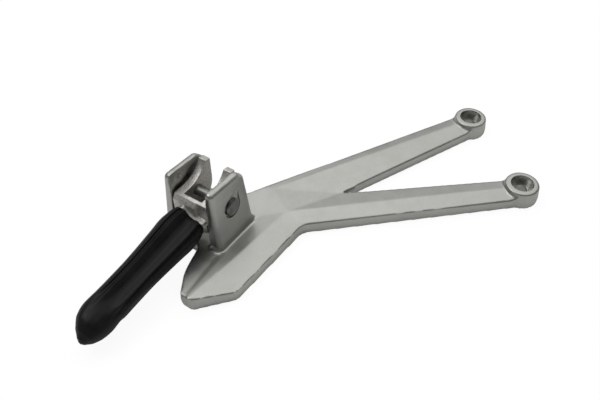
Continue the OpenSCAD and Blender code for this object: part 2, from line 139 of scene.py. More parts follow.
def fill_ramp(node: bpy.types.Node, stops: list[tuple[float, str]]) -> bpy.types.NodeSocket:
    """Fills a colour ramp.

    Args:
        node: A ColorRamp node.
        stops: Position and sRGB hex colour of each stop, lowest first.

    Returns:
        The node's colour output.
    """
    elements = node.color_ramp.elements
    for position, _ in stops[len(elements):]:
        elements.new(position)
    for element, (position, colour) in zip(elements, stops):
        element.position = position
        element.color = linear(colour)
    return node.outputs["Color"]


# Finishes


class MaterialDraft:
    """A node material while it is being built.

    Every pattern is noise in Object coordinates, so it stays put on a piece
    that moves.
    """

    def __init__(self, name: str, metallic: float) -> None:
        """Starts the material.

        Args:
            name: The material's name.
            metallic: 1 for a metal, 0 for anything else.
        """
        self.material = bpy.data.materials.new(name)
        self.material.use_nodes = True
        self.tree = self.material.node_tree
        self.shader = self.tree.nodes["Principled BSDF"]
        self.place = add_node(self.tree, "ShaderNodeTexCoord").outputs["Object"]
        self.put("Metallic", metallic)

    def put(self, socket: str, value: float) -> None:
        """Sets one of the shader's sockets to a value that is uniform.

        Args:
            socket: The socket's name.
            value: Its value.
        """
        self.shader.inputs[socket].default_value = value

    def noise(
        self, size_mm: float, detail: float, roughness: float = 0.5
    ) -> bpy.types.NodeSocket:
        """Adds noise in object space.

        Args:
            size_mm: Size of its patches.
            detail: Number of finer layers.
            roughness: Strength of the finer layers.

        Returns:
            The noise, 0 to 1.
        """
        return add_node(
            self.tree,
            "ShaderNodeTexNoise",
            Vector=self.place,
            Scale=1 / (size_mm * MM),
            Detail=detail,
            Roughness=roughness,
        ).outputs[0]

    def sum_of(
        self, fine: bpy.types.NodeSocket, weight: float, coarse: bpy.types.NodeSocket
    ) -> bpy.types.NodeSocket:
        """Adds weight times one pattern to another.

        Args:
            fine: The pattern that is weighted.
            weight: Its weight.
            coarse: The other pattern.

        Returns:
            The sum.
        """
        return add_node(
            self.tree,
            "ShaderNodeMath",
            {"operation": "MULTIPLY_ADD"},
            in0=fine,
            in1=weight,
            in2=coarse,
        ).outputs[0]

    def colour_by(self, tone: bpy.types.NodeSocket, stops: list[tuple[float, str]]) -> None:
        """Lets a pattern choose the colour.

        Args:
            tone: The pattern.
            stops: Value and sRGB hex colour of each stop, lowest first.
        """
        node = add_node(self.tree, "ShaderNodeValToRGB", Fac=tone)
        self.tree.links.new(fill_ramp(node, stops), self.shader.inputs["Base Color"])

    def roughen_by(self, tone: bpy.types.NodeSocket, low: float, high: float) -> None:
        """Lets a pattern choose the roughness.

        Noise seldom leaves 0.3 to 0.7, so that range takes the whole spread.

        Args:
            tone: The pattern.
            low: Roughness at 0.3.
            high: Roughness at 0.7.
        """
        node = add_node(
            self.tree, "ShaderNodeMapRange", in0=tone, in1=0.3, in2=0.7, in3=low, in4=high
        )
        self.tree.links.new(node.outputs[0], self.shader.inputs["Roughness"])

    def dent_by(self, height: bpy.types.NodeSocket, depth_mm: float) -> None:
        """Lets a pattern dent the surface.

        Args:
            height: The pattern.
            depth_mm: Height of its full range.
        """
        node = add_node(
            self.tree, "ShaderNodeBump", Strength=1.0, Distance=depth_mm * MM, Height=height
        )
        self.tree.links.new(node.outputs[0], self.shader.inputs["Normal"])


@dataclass(frozen=True)
class BlastedAluminium:
    """Die-cast aluminium, shot-blasted and clear-coated: an even satin silver
    with a very fine grain and faint cloudy patches.

    The grain is drawn at about 0.6 mm, coarser than the real 0.2 mm, so that it
    shows at all at the render's size.
    """

    name: str = "blasted_cast_aluminium"
    light: str = "#bfc0bb"
    colour: str = "#b9bab5"
    dark: str = "#b0b1ab"
    roughness: float = 0.42
    smoother: float = 0.04
    rougher: float = 0.05
    grain_mm: float = 0.6
    grain_weight: float = 0.8
    cloud_mm: float = 22.0
    bump_mm: float = 0.02

    def material(self) -> bpy.types.Material:
        """Builds the node material.

        Returns:
            The material.
        """
        draft = MaterialDraft(self.name, metallic=1.0)
        cloud = draft.noise(self.cloud_mm, detail=4.0, roughness=0.6)
        grain = draft.noise(self.grain_mm, detail=2.0, roughness=0.7)
        tone = draft.sum_of(grain, self.grain_weight, cloud)
        draft.colour_by(tone, [(0.65, self.dark), (0.9, self.colour), (1.0, self.light)])
        draft.roughen_by(cloud, self.roughness - self.smoother, self.roughness + self.rougher)
        draft.dent_by(grain, self.bump_mm)
        return draft.material


@dataclass(frozen=True)
class TurnedMetal:
    """Machined or rolled metal: small marks left by the tool, a tighter
    highlight than the casting's and faint stains from handling.
    """

    name: str
    colour: str
    dark: str
    roughness: float
    smoother: float = 0.06
    rougher: float = 0.08
    mark_mm: float = 0.5
    mark_weight: float = 0.5
    stain_mm: float = 6.0
    bump_mm: float = 0.01

    def material(self) -> bpy.types.Material:
        """Builds the node material.

        Returns:
            The material.
        """
        draft = MaterialDraft(self.name, metallic=1.0)
        marks = draft.noise(self.mark_mm, detail=3.0, roughness=0.6)
        stain = draft.noise(self.stain_mm, detail=3.0)
        tone = draft.sum_of(marks, self.mark_weight, stain)
        draft.colour_by(tone, [(0.55, self.dark), (0.85, self.colour)])
        draft.roughen_by(stain, self.roughness - self.smoother, self.roughness + self.rougher)
        draft.dent_by(marks, self.bump_mm)
        return draft.material


@dataclass(frozen=True)
class RawCastAluminium:
    """Bare sand-cast aluminium, as it came from the mould: bright and finely
    grained, with painted shade: small dark specks in the low places of its grain.

    Its grain is about 1 mm across, the real size of the sand marks.
    """

    name: str = "raw_cast_aluminium"
    colour: str = "#dedcd8"
    shade: str = "#c4c1bb"
    # Colour of the painted shade in the deepest pits.
    deep_pit_shade: str = "#827e78"
    roughness: float = 0.5
    pit_mm: float = 1.1
    bump_mm: float = 0.07

    def material(self) -> bpy.types.Material:
        """Builds the node material.

        Returns:
            The material.
        """
        draft = MaterialDraft(self.name, metallic=1.0)
        pits = draft.noise(self.pit_mm, detail=4.0, roughness=0.6)
        # Painted shade: where the bump dips, the pits get the darker stops.
        draft.colour_by(pits, [(0.28, self.deep_pit_shade), (0.4, self.shade), (0.55, self.colour)])
        draft.put("Roughness", self.roughness)
        draft.dent_by(pits, self.bump_mm)
        return draft.material


@dataclass(frozen=True)
class MouldedRubber:
    """Black moulded rubber: matt with a faint sheen on its ribs and dusty
    patches a little greyer than the rest.
    """

    name: str = "moulded_black_rubber"
    colour: str = "#101010"
    dust: str = "#1d1d1c"
    ior: float = 1.52
    specular_level: float = 0.25
    roughness: float = 0.5
    roughness_spread: float = 0.08
    grain_mm: float = 0.7
    cloud_mm: float = 12.0
    bump_mm: float = 0.03

    def material(self) -> bpy.types.Material:
        """Builds the node material.

        Returns:
            The material.
        """
        draft = MaterialDraft(self.name, metallic=0.0)
        draft.put("IOR", self.ior)
        draft.put("Specular IOR Level", self.specular_level)
        cloud = draft.noise(self.cloud_mm, detail=4.0)
        grain = draft.noise(self.grain_mm, detail=2.0)
        draft.colour_by(cloud, [(0.4, self.colour), (0.7, self.dust)])
        spread = self.roughness_spread
        draft.roughen_by(cloud, self.roughness - spread, self.roughness + spread)
        draft.dent_by(grain, self.bump_mm)
        return draft.material


# Mesh helpers


def mesh_piece(name: str, points: Array, faces: Array) -> bpy.types.Object:
    """Makes an object at the origin from points and faces.

    Args:
        name: The piece's name.
        points: Rows of x, y, z in millimetres.
        faces: Rows of three or four point numbers.

    Returns:
        The linked object.
    """
    mesh = bpy.data.meshes.new(name)
    mesh.from_pydata((points * MM).tolist(), [], faces.tolist())
    mesh.validate()
    return linked(name, mesh)


def grid_faces(rows: int, columns: int) -> Array:
    """Quads of a grid whose columns close on themselves.

    Each quad joins point (i, j) to (i, j + 1), (i + 1, j + 1) and (i + 1, j).

    Args:
        rows: Number of rings.
        columns: Points in each ring.

    Returns:
        Rows of four point numbers.
    """
    i, j = np.meshgrid(np.arange(rows - 1), np.arange(columns), indexing="ij")
    k = (j + 1) % columns
    quads = np.stack(
        [i * columns + j, i * columns + k, (i + 1) * columns + k, (i + 1) * columns + j], -1
    )
    return quads.reshape(-1, 4)


def between(p: Array, q: Array, r: Array, s: Array, t: Array) -> Array:
    """A smooth curve from q to r that keeps its direction at both (Catmull-Rom).

    The point at t is half of 2q + (r - p) t + (2p - 5q + 4r - s) t squared
    + (3q - p - 3r + s) t cubed.

    Args:
        p: The point before q.
        q: Where the curve starts.
        r: Where it ends.
        s: The point after r.
        t: How far along it, 0 to 1.

    Returns:
        The points at t.
    """
    return 0.5 * (
        2 * q
        + (r - p) * t
        + (2 * p - 5 * q + 4 * r - s) * t**2
        + (3 * q - p - 3 * r + s) * t**3
    )


def lathe(profile: list[tuple[float, float]], turns: int = 96) -> tuple[Array, Array]:
    """Carries a profile once round the Z axis.

    A point (r, z) of the profile goes to (r cos t, r sin t, z). A point on the
    axis stays a tiny ring, which merge_close closes.

    Args:
        profile: Radius and height of each profile point, in millimetres,
            ordered so that the outside lies on its right.
        turns: Number of steps round the axis.

    Returns:
        Points and quads.
    """
    rz = np.array(profile, float)
    t = np.linspace(0, 2 * math.pi, turns, endpoint=False)
    smallest = 1e-4
    r = np.maximum(rz[:, :1], smallest)
    z = np.broadcast_to(rz[:, 1:], (len(rz), turns))
    points = np.stack([r * np.cos(t), r * np.sin(t), z], -1)
    return points.reshape(-1, 3), grid_faces(len(rz), turns)


def along_pin(points: Array, y: float) -> Array:
    """Turns points made round Z so that they lie round the hinge pin.

    Z becomes +Y, counted from the plane y.

    Args:
        points: Points round the Z axis, in millimetres.
        y: The plane where their z is 0.

    Returns:
        The moved points.
    """
    x, z = points[:, 0] + Hinge.x, Hinge.z - points[:, 1]
    return np.stack([x, points[:, 2] + y, z], -1)


def merge_close(piece: bpy.types.Object, distance_mm: float = 0.001) -> None:
    """Merges points that coincide and turns the faces outwards.

    Args:
        piece: The mesh object.
        distance_mm: Points this close become one.
    """
    work = bmesh.new()
    work.from_mesh(piece.data)
    bmesh.ops.remove_doubles(work, verts=work.verts, dist=distance_mm * MM)
    bmesh.ops.recalc_face_normals(work, faces=work.faces)
    work.to_mesh(piece.data)
    work.free()


def hull_of(name: str, points: Array) -> bpy.types.Object:
    """Makes the convex hull of some points.

    Args:
        name: The object's name.
        points: Rows of x, y, z in millimetres.

    Returns:
        The closed hull as an object at the origin.
    """
    mesh = bpy.data.meshes.new(name)
    mesh.from_pydata((points * MM).tolist(), [], [])
    work = bmesh.new()
    work.from_mesh(mesh)
    found = bmesh.ops.convex_hull(work, input=work.verts)
    loose = set(found["geom_interior"]) | set(found["geom_unused"])
    inside = [part for part in loose if isinstance(part, bmesh.types.BMVert)]
    bmesh.ops.delete(work, geom=inside, context="VERTS")
    bmesh.ops.recalc_face_normals(work, faces=work.faces)
    work.to_mesh(mesh)
    work.free()
    return linked(name, mesh)


def bake(piece: bpy.types.Object) -> None:
    """Applies a piece's modifiers to its mesh.

    Args:
        piece: The object with live modifiers.
    """
    depsgraph = bpy.context.evaluated_depsgraph_get()
    mesh = bpy.data.meshes.new_from_object(piece.evaluated_get(depsgraph))
    old = piece.data
    piece.modifiers.clear()
    piece.data = mesh
    bpy.data.meshes.remove(old)
    mesh.name = piece.name


def cut_away(piece: bpy.types.Object, cutters: list[bpy.types.Object]) -> None:
    """Takes closed cutters out of a closed piece.

    Args:
        piece: The piece that is cut.
        cutters: Closed meshes, removed afterwards.
    """
    for cutter in cutters:
        modifier = piece.modifiers.new("cut", "BOOLEAN")
        modifier.operation = "DIFFERENCE"
        modifier.solver = "MANIFOLD"
        modifier.object = cutter
    bake(piece)
    for cutter in cutters:
        bpy.data.objects.remove(cutter)


def cad_copy(node: str, name: str) -> bpy.types.Object:
    """Copies a CAD node's mesh and merges its loose triangles.

    Args:
        node: The CAD node.
        name: The new piece's name.

    Returns:
        A closed mesh object at the origin.
    """
    piece = linked(name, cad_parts[node].data.copy())
    merge_close(piece)
    return piece


def soften(
    piece: bpy.types.Object, plugs: list[bpy.types.Object], voxel_mm: float, rounds: int
) -> None:
    """Gives a casting its mould's rounded edges.

    The plugs are joined in, the whole is rebuilt on a grid of voxels, and each
    point then moves halfway to the middle of its neighbours a few times, which
    rounds every edge and corner by a little over a voxel.

    Args:
        piece: The closed casting.
        plugs: Closed meshes that fill what is machined afterwards.
        voxel_mm: Size of a voxel.
        rounds: Number of smoothing rounds.
    """
    with bpy.context.temp_override(
        active_object=piece, selected_editable_objects=[piece, *plugs]
    ):
        bpy.ops.object.join()
    remesh = piece.modifiers.new("voxels", "REMESH")
    remesh.mode = "VOXEL"
    remesh.voxel_size = voxel_mm * MM
    smooth = piece.modifiers.new("rounding", "SMOOTH")
    smooth.factor = 0.5
    smooth.iterations = rounds
    bake(piece)


def finish_piece(
    piece: bpy.types.Object,
    body: Body,
    materials: list[bpy.types.Material],
    sharp_deg: float = 40,
) -> None:
    """Shades, paints and hangs a finished piece on its body.

    Args:
        piece: The finished mesh object.
        body: The CAD body that it rides on.
        materials: The piece's materials, first slot first.
        sharp_deg: Edges that turn more than this stay sharp.
    """
    mesh = piece.data
    mesh.materials.clear()
    for material in materials:
        mesh.materials.append(material)
    mesh.shade_smooth()
    mesh.set_sharp_from_angle(angle=math.radians(sharp_deg))
    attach(piece, body.value)


def face_places(mesh: bpy.types.Mesh) -> tuple[Array, Array]:
    """Centres in millimetres and normals of a mesh's faces.

    Args:
        mesh: The mesh.

    Returns:
        Two arrays of three columns.
    """
    count = len(mesh.polygons)
    centres, normals = np.empty(count * 3), np.empty(count * 3)
    mesh.polygons.foreach_get("center", centres)
    mesh.polygons.foreach_get("normal", normals)
    return centres.reshape(-1, 3) / MM, normals.reshape(-1, 3)


# Pieces


@dataclass(frozen=True)
class Hinge:
    """Where the hinge pin and the ears' machined faces are, in millimetres.

    The pin lies along Y. Each ear has a spot face round the pin on its outer
    side and a round running face on its inner side.
    """

    x: float = -160.6
    y: float = 178.0
    z: float = 38.2
    near_face: float = 152.1
    far_face: float = 203.9
    half_gap: float = 15.6
    spot_depth: float = 3.8
    spot_r: float = 8.4
    face_r: float = 17.5
    face_depth: float = 0.8
    pin_r: float = 4.05


@dataclass
class HangerCasting:
    """The forked bracket: a shot-blasted casting whose holes, counterbores,
    spot faces and running faces are machined afterwards, so those stay crisp.

    The bolts' cutters run between the two heights of bolt_cut, and the spot
    faces' cutters reach face_cut outwards. A face belongs to a machined plane
    when it is less than skin away from it, its normal's part across the plane
    is over square_on, and it lies no more than machined_below_pin under the pin.
    """

    bolt_holes: tuple[tuple[float, float], ...] = ((0.0, 0.0), (52.6, 66.1))
    hole_r: float = 5.0
    counterbore_r: float = 8.9
    counterbore_floor: float = 7.2
    boss_h: float = 14.0
    plug_margin: float = 0.3
    bolt_cut: tuple[float, float] = (-2.0, 20.0)
    fillet_top: float = 14.2
    face_cut: float = 6.0
    slot_h: float = 60.0
    detent_r: float = 17.3
    dimple_deg: tuple[float, float] = (120.0, 210.0)
    dimple_depth: float = 1.2
    ball_r: float = 3.2
    seat_r: float = 5.25
    seat_start: float = 12.0
    machined_below_pin: float = 21.5
    square_on: float = 0.99
    skin: float = 0.05
    voxel_mm: float = 0.84
    rounds: int = 4

    def drum(
        self, name: str, centre: tuple[float, float], r: float, low: float, high: float
    ) -> bpy.types.Object:
        """A closed upright cylinder.

        Args:
            name: Its object's name.
            centre: x and y of its axis.
            r: Radius.
            low: Lower end.
            high: Upper end.

        Returns:
            The object.
        """
        points, faces = lathe([(0, low), (r, low), (r, high), (0, high)])
        piece = mesh_piece(name, points + np.array([*centre, 0]), faces)
        merge_close(piece)
        return piece

    def pin_drum(
        self, name: str, r: float, y0: float, y1: float, shift: tuple[float, float] = (0, 0)
    ) -> bpy.types.Object:
        """A closed cylinder along the pin's direction.

        Args:
            name: Its object's name.
            r: Radius.
            y0: Near end.
            y1: Far end.
            shift: x and z of its axis from the pin's.

        Returns:
            The object.
        """
        points, faces = lathe([(0, 0), (r, 0), (r, y1 - y0), (0, y1 - y0)])
        moved = along_pin(points, y0) + np.array([shift[0], 0, shift[1]])
        piece = mesh_piece(name, moved, faces)
        merge_close(piece)
        return piece

    def block(
        self, name: str, low: tuple[float, float, float], high: tuple[float, float, float]
    ) -> bpy.types.Object:
        """A closed box between two corners.

        Args:
            name: Its object's name.
            low: Lowest corner.
            high: Highest corner.

        Returns:
            The object.
        """
        xs, ys, zs = zip(low, high)
        return hull_of(name, np.array([(x, y, z) for z in zs for y in ys for x in xs]))

    def ear_blank(self, name: str, side: int) -> bpy.types.Object:
        """An ear before machining: the hull of its own corners over the fillet.

        Args:
            name: Its object's name.
            side: -1 for the near ear, 1 for the far one.

        Returns:
            The closed hull.
        """
        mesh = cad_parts["bracket"].data
        points = np.empty(len(mesh.vertices) * 3)
        mesh.vertices.foreach_get("co", points)
        points = points.reshape(-1, 3) / MM
        outwards = (points[:, 1] - Hinge.y) * side
        keep = (points[:, 2] > self.fillet_top) & (outwards > Hinge.half_gap - self.skin)
        keep &= np.abs(points[:, 0] - Hinge.x) < 2 * Hinge.face_r
        return hull_of(name, points[keep])

    def plugs(self) -> list[bpy.types.Object]:
        """Fillings for what is machined after the softening.

        Returns:
            Both ears' blanks and a plug for each boss.
        """
        made = [self.ear_blank("near_blank", -1), self.ear_blank("far_blank", 1)]
        r = self.counterbore_r + self.plug_margin
        for i, centre in enumerate(self.bolt_holes):
            made.append(self.drum(f"plug_{i}", centre, r, 0.0, self.boss_h))
        return made

    def dimple_places(self) -> list[tuple[float, float]]:
        """x and z of the detent dimples from the pin."""
        turns = [math.radians(deg) for deg in self.dimple_deg]
        return [(self.detent_r * math.cos(a), self.detent_r * math.sin(a)) for a in turns]

    def cutters(self) -> list[bpy.types.Object]:
        """Holes, counterbores, spot faces, running faces and dimples."""
        return [*self.bolt_cutters(), *self.pin_cutters(), *self.detent_cutters()]

    def bolt_cutters(self) -> list[bpy.types.Object]:
        """The bolt holes and their counterbores.

        Returns:
            Two drums for each boss.
        """
        low, high = self.bolt_cut
        made = []
        for i, centre in enumerate(self.bolt_holes):
            made.append(self.drum(f"hole_{i}", centre, self.hole_r, low, high))
            floor = self.counterbore_floor
            made.append(self.drum(f"sink_{i}", centre, self.counterbore_r, floor, high))
        return made

    def pin_cutters(self) -> list[bpy.types.Object]:
        """The pin's bore and spot faces, and the slots that run up from them.

        Returns:
            Three drums and two blocks.
        """
        near, far = Hinge.near_face + Hinge.spot_depth, Hinge.far_face - Hinge.spot_depth
        near_end, far_end = near - self.face_cut, far + self.face_cut
        made = [self.pin_drum("pin_bore", Hinge.pin_r, near_end, far_end)]
        made.append(self.pin_drum("near_spot", Hinge.spot_r, near_end, near))
        made.append(self.pin_drum("far_spot", Hinge.spot_r, far, far_end))
        for name, y0, y1 in [("near_slot", near_end, near), ("far_slot", far, far_end)]:
            low = (Hinge.x, y0, Hinge.z)
            high = (Hinge.x + Hinge.spot_r, y1, Hinge.z + self.slot_h)
            made.append(self.block(name, low, high))
        return made

    def detent_cutters(self) -> list[bpy.types.Object]:
        """The running faces, and in the far one the dimples and their seats.

        A dimple is a ball whose profile is (ball_r cos a, ball_r sin a).

        Returns:
            A wide drum, and a drum and a ball for each dimple.
        """
        reach = Hinge.half_gap + Hinge.face_depth
        y0, y1 = Hinge.y - reach, Hinge.y + reach
        made = [self.pin_drum("running_faces", Hinge.face_r, y0, y1)]
        arc = np.radians(np.linspace(-90, 90, 25))
        ball = [(self.ball_r * math.cos(a), self.ball_r * math.sin(a)) for a in arc]
        centre = y1 + self.dimple_depth - self.ball_r
        for i, place in enumerate(self.dimple_places()):
            start = Hinge.y + self.seat_start
            made.append(self.pin_drum(f"seat_{i}", self.seat_r, start, y1, place))
            points, faces = lathe(ball, 48)
            moved = along_pin(points, centre) + np.array([place[0], 0, place[1]])
            made.append(mesh_piece(f"dimple_{i}", moved, faces))
            merge_close(made[-1])
        return made

    def machined(self, mesh: bpy.types.Mesh) -> Array:
        """Picks the faces that a tool has cut.

        Args:
            mesh: The finished mesh.

        Returns:
            True for each machined face.
        """
        centres, normals = face_places(mesh)
        picked = np.zeros(len(centres), bool)
        for hole in self.bolt_holes:
            away = np.hypot(centres[:, 0] - hole[0], centres[:, 1] - hole[1])
            picked |= away < self.counterbore_r + self.skin
        picked &= centres[:, 2] > 2 * self.skin
        side = np.abs(centres[:, 1] - Hinge.y)
        across = np.abs(normals[:, 1]) > self.square_on
        high = centres[:, 2] > Hinge.z - self.machined_below_pin
        running = np.abs(side - Hinge.half_gap - Hinge.face_depth) < self.skin
        spot = np.abs(side - (Hinge.far_face - Hinge.spot_depth - Hinge.y)) < self.skin
        picked |= high & across & (running | spot)
        along = np.hypot(centres[:, 0] - Hinge.x, centres[:, 2] - Hinge.z)
        picked |= (along < Hinge.pin_r + 2 * self.skin) & (side > Hinge.half_gap)
        return picked

    def build(
        self, blasted: bpy.types.Material, machined: bpy.types.Material
    ) -> bpy.types.Object:
        """Makes the casting.

        Args:
            blasted: Material of the cast faces.
            machined: Material of the machined faces.

        Returns:
            The piece.
        """
        piece = cad_copy("bracket", "hanger_casting")
        soften(piece, self.plugs(), self.voxel_mm, self.rounds)
        cut_away(piece, self.cutters())
        finish_piece(piece, Body.HANGER, [blasted, machined])
        index = self.machined(piece.data).astype(np.int32)
        piece.data.polygons.foreach_set("material_index", index)
        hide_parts("bracket")
        return piece


@dataclass
class PegCasting:
    """The footpeg's fork and the bar inside its rubber, bare as cast: the solid
    with its edges and corners rounded.
    """

    voxel_mm: float = 0.4
    rounds: int = 3

    def build(self, raw: bpy.types.Material) -> bpy.types.Object:
        """Makes the casting.

        Args:
            raw: Material of the bare casting.

        Returns:
            The piece.
        """
        piece = cad_copy("footpeg_core", "peg_casting")
        soften(piece, [], self.voxel_mm, self.rounds)
        finish_piece(piece, Body.FOOTPEG, [raw])
        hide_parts("footpeg_core")
        return piece


@dataclass
class PegRubber:
    """The moulded sleeve: waisted along its length and ending in a ball. Its
    section has a channel between two ribs along its upper side, a groove
    outside each rib, and cross grooves for the boot along its lower side.

    Its own X starts at the pin. The axis droops, leans towards the far ear by
    yaw_deg and starts side further that way; the bar inside only droops. The
    halves of the section are given as parts of half its width and height.
    """

    start: float = 20.6
    length: float = 108.6
    droop_deg: float = 6.4
    yaw_deg: float = 0.6
    side: float = 0.5
    roll_deg: float = 28.0
    drop: float = 8.0
    root_w: float = 28.6
    waist_w: float = 24.6
    waist_h: float = 18.6
    ball_w: float = 25.4
    bar_reach: float = 94.9
    bar_w: float = 12.0
    bar_h: float = 8.0
    barb: float = 2.0
    barb_l: float = 8.0
    bar_clearance: float = 0.15
    bar_inset: float = 2.0
    tread_span: tuple[float, float] = (0.16, 0.68)
    tread_pitch: float = 9.0
    tread_w: float = 2.2
    tread_depth: float = 1.4
    wall_slope: float = 0.08
    rings: int = 260
    curve_steps: int = 14
    ribbed_half: tuple[tuple[float, float], ...] = (
        (0, 0.68), (0.18, 0.72), (0.45, 0.93), (0.53, 0.89), (0.60, 0.70), (0.67, 0.66),
        (0.77, 0.73), (0.90, 0.54), (1, 0), (0.95, -0.5), (0.7, -0.88), (0, -1),
    )
    plain_half: tuple[tuple[float, float], ...] = (
        (0, 0.96), (0.2, 0.95), (0.42, 0.89), (0.53, 0.84), (0.62, 0.79), (0.72, 0.72),
        (0.84, 0.58), (0.95, 0.34), (1, 0), (0.92, -0.45), (0.64, -0.80), (0, -1),
    )

    def stations(self) -> list[tuple[float, ...]]:
        """The sections that shape the sleeve, from its inner end to its tip.

        Returns:
            For each: part of the length, width, height, rib strength, and how
            far the section lies towards the near side.
        """
        root, waist, high, ball = self.root_w, self.waist_w, self.waist_h, self.ball_w
        return [
            (0.0, root - 2, high + 4, 1.0, 0.0),
            (0.03, root, high + 6.3, 1.0, 0.0),
            (0.12, root + 1.8, high + 4.6, 1.0, 0.0),
            (0.21, root + 0.3, high + 3.6, 1.0, 0.0),
            (0.30, waist + 2.9, high + 1.8, 1.0, 0.0),
            (0.39, waist + 1.6, high + 0.4, 1.0, 0.0),
            (0.48, waist + 0.7, high, 1.0, 0.0),
            (0.57, waist + 0.5, high + 1.2, 1.0, 0.0),
            (0.66, waist + 0.5, high + 2.6, 0.9, 0.0),
            (0.72, waist + 0.6, high + 3.0, 0.6, 0.0),
            (0.755, ball - 0.5, ball - 4.2, 0.3, -0.3),
            (0.83, ball, ball - 4.5, 0.0, 0.0),
            (0.90, ball * 0.87, ball * 0.80, 0.0, 0.6),
            (0.955, ball * 0.58, ball * 0.58, 0.0, 1.7),
            (0.99, ball * 0.26, ball * 0.27, 0.0, 2.5),
            (1.0, ball * 0.1, ball * 0.1, 0.0, 2.7),
        ]

    def curve(self, at: Array) -> Array:
        """Width, height, rib strength and side shift at parts of the length.

        A smooth curve goes through the stations (Catmull-Rom).

        Args:
            at: Parts of the length, 0 to 1.

        Returns:
            One row of four values for each part.
        """
        table = np.array(self.stations())
        knots = table[:, 0]
        i = np.clip(np.searchsorted(knots, at, side="right") - 1, 0, len(knots) - 2)
        t = ((at - knots[i]) / (knots[i + 1] - knots[i]))[:, None]
        last = len(knots) - 1
        return between(
            table[np.maximum(i - 1, 0), 1:],
            table[i, 1:],
            table[i + 1, 1:],
            table[np.minimum(i + 2, last), 1:],
            t,
        )

    def outline(self, half: tuple[tuple[float, float], ...]) -> Array:
        """The closed section through one half's points and their mirror image.

        Args:
            half: Parts of the half width and half height, from the middle of
                the upper side round to the middle of the lower side.

        Returns:
            Points of the smooth curve, as the same parts.
        """
        points = np.array(half)
        ring = np.concatenate([points * [-1, 1], points[-2:0:-1]])
        n = len(ring)
        k = np.arange(n * self.curve_steps)
        i, t = k // self.curve_steps, (k % self.curve_steps / self.curve_steps)[:, None]
        return between(ring[(i - 1) % n], ring[i], ring[(i + 1) % n], ring[(i + 2) % n], t)

    def groove_starts(self) -> Array:
        """Distances from the sleeve's inner end to the cross grooves."""
        first, last = (part * self.length for part in self.tread_span)
        return np.arange(first, last, self.tread_pitch)

    def surface(self) -> Array:
        """Works out the sleeve's outside in the peg's own axes.

        The section is (1 - rib) times the plain outline plus rib times the
        ribbed one, scaled by half the width and half the height, plus the side
        shift along y. Inside a cross groove no point lies lower than the
        groove's floor. Two rings stand close together at each groove's wall.

        Returns:
            Points ring by ring: rings, points of a ring, and x, y, z.
        """
        starts = self.groove_starts()
        edges = np.concatenate([starts, starts + self.tread_w])
        near = np.concatenate([edges - self.wall_slope, edges + self.wall_slope]) / self.length
        at = np.unique(np.concatenate([np.linspace(0, 1, self.rings), near]))
        wide, high, rib, shift = (column[:, None] for column in self.curve(at).T)
        plain, ribbed = self.outline(self.plain_half), self.outline(self.ribbed_half)
        y = ((1 - rib) * plain[:, 0] + rib * ribbed[:, 0]) * wide / 2 + shift
        z = ((1 - rib) * plain[:, 1] + rib * ribbed[:, 1]) * high / 2
        x = np.broadcast_to(self.length * at[:, None], y.shape)
        inside = x[:, :1, None] - starts
        grooved = ((inside >= 0) & (inside <= self.tread_w)).any(-1)
        floor = -self.waist_h / 2 + self.tread_depth
        z = np.where(grooved, np.maximum(z, floor), z)
        return np.stack([x + self.start, y, z], -1)

    def placed(self, points: Array, yaw_deg: float = 0.0, side: float = 0.0) -> Array:
        """Takes points from the peg's own axes to the model's.

        The peg's X runs from the pin to its tip, drooping and leaning towards
        the far ear; its Z points up, rolled about X so that the near side is
        lower.

        Args:
            points: Rows of x, y, z.
            yaw_deg: Angle of the axis towards the far ear.
            side: Shift towards the far ear.

        Returns:
            The moved rows.
        """
        turn = (
            Matrix.Rotation(math.radians(180 - yaw_deg), 3, "Z")
            @ Matrix.Rotation(math.radians(self.droop_deg), 3, "Y")
            @ Matrix.Rotation(math.radians(-self.roll_deg), 3, "X")
        )
        return points @ np.array(turn).T + [Hinge.x, Hinge.y + side, Hinge.z - self.drop]

    def bar_room(self) -> list[bpy.types.Object]:
        """Makes the room for the casting's bar and its wider head.

        Returns:
            Two closed boxes, as cutters.
        """
        gap = self.bar_clearance
        head_start = self.bar_reach - self.barb_l - gap
        end = self.start + self.bar_reach + gap
        made = []
        for name, start, extra in [
            ("bar_room", -self.bar_inset, 0.0),
            ("head_room", head_start, self.barb),
        ]:
            xs = (self.start + start, end)
            y = self.bar_w / 2 + extra + gap
            z = self.bar_h / 2 + extra + gap
            corners = [(x, sy * y, sz * z) for x in xs for sy in (-1, 1) for sz in (-1, 1)]
            made.append(hull_of(name, self.placed(np.array(corners))))
        return made

    def build(self, rubber: bpy.types.Material) -> bpy.types.Object:
        """Makes the sleeve.

        Args:
            rubber: Its material.

        Returns:
            The piece.
        """
        rings = self.surface()
        rows, columns = rings.shape[:2]
        hubs = [rings[0].mean(0), rings[-1].mean(0)]
        points = np.concatenate([rings.reshape(-1, 3), hubs])
        first = np.arange(columns)
        after = (first + 1) % columns
        last = (rows - 1) * columns
        hub = np.full(columns, rows * columns)
        root_fan = np.stack([first, hub, after], -1)
        tip_fan = np.stack([last + first, last + after, hub + 1], -1)
        faces = grid_faces(rows, columns).tolist() + root_fan.tolist() + tip_fan.tolist()
        mesh = bpy.data.meshes.new("peg_rubber")
        placed = self.placed(points, self.yaw_deg, self.side)
        mesh.from_pydata((placed * MM).tolist(), [], faces)
        piece = linked("peg_rubber", mesh)
        merge_close(piece)
        cut_away(piece, self.bar_room())
        finish_piece(piece, Body.FOOTPEG, [rubber], sharp_deg=35)
        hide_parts("footpeg_rubber")
        return piece


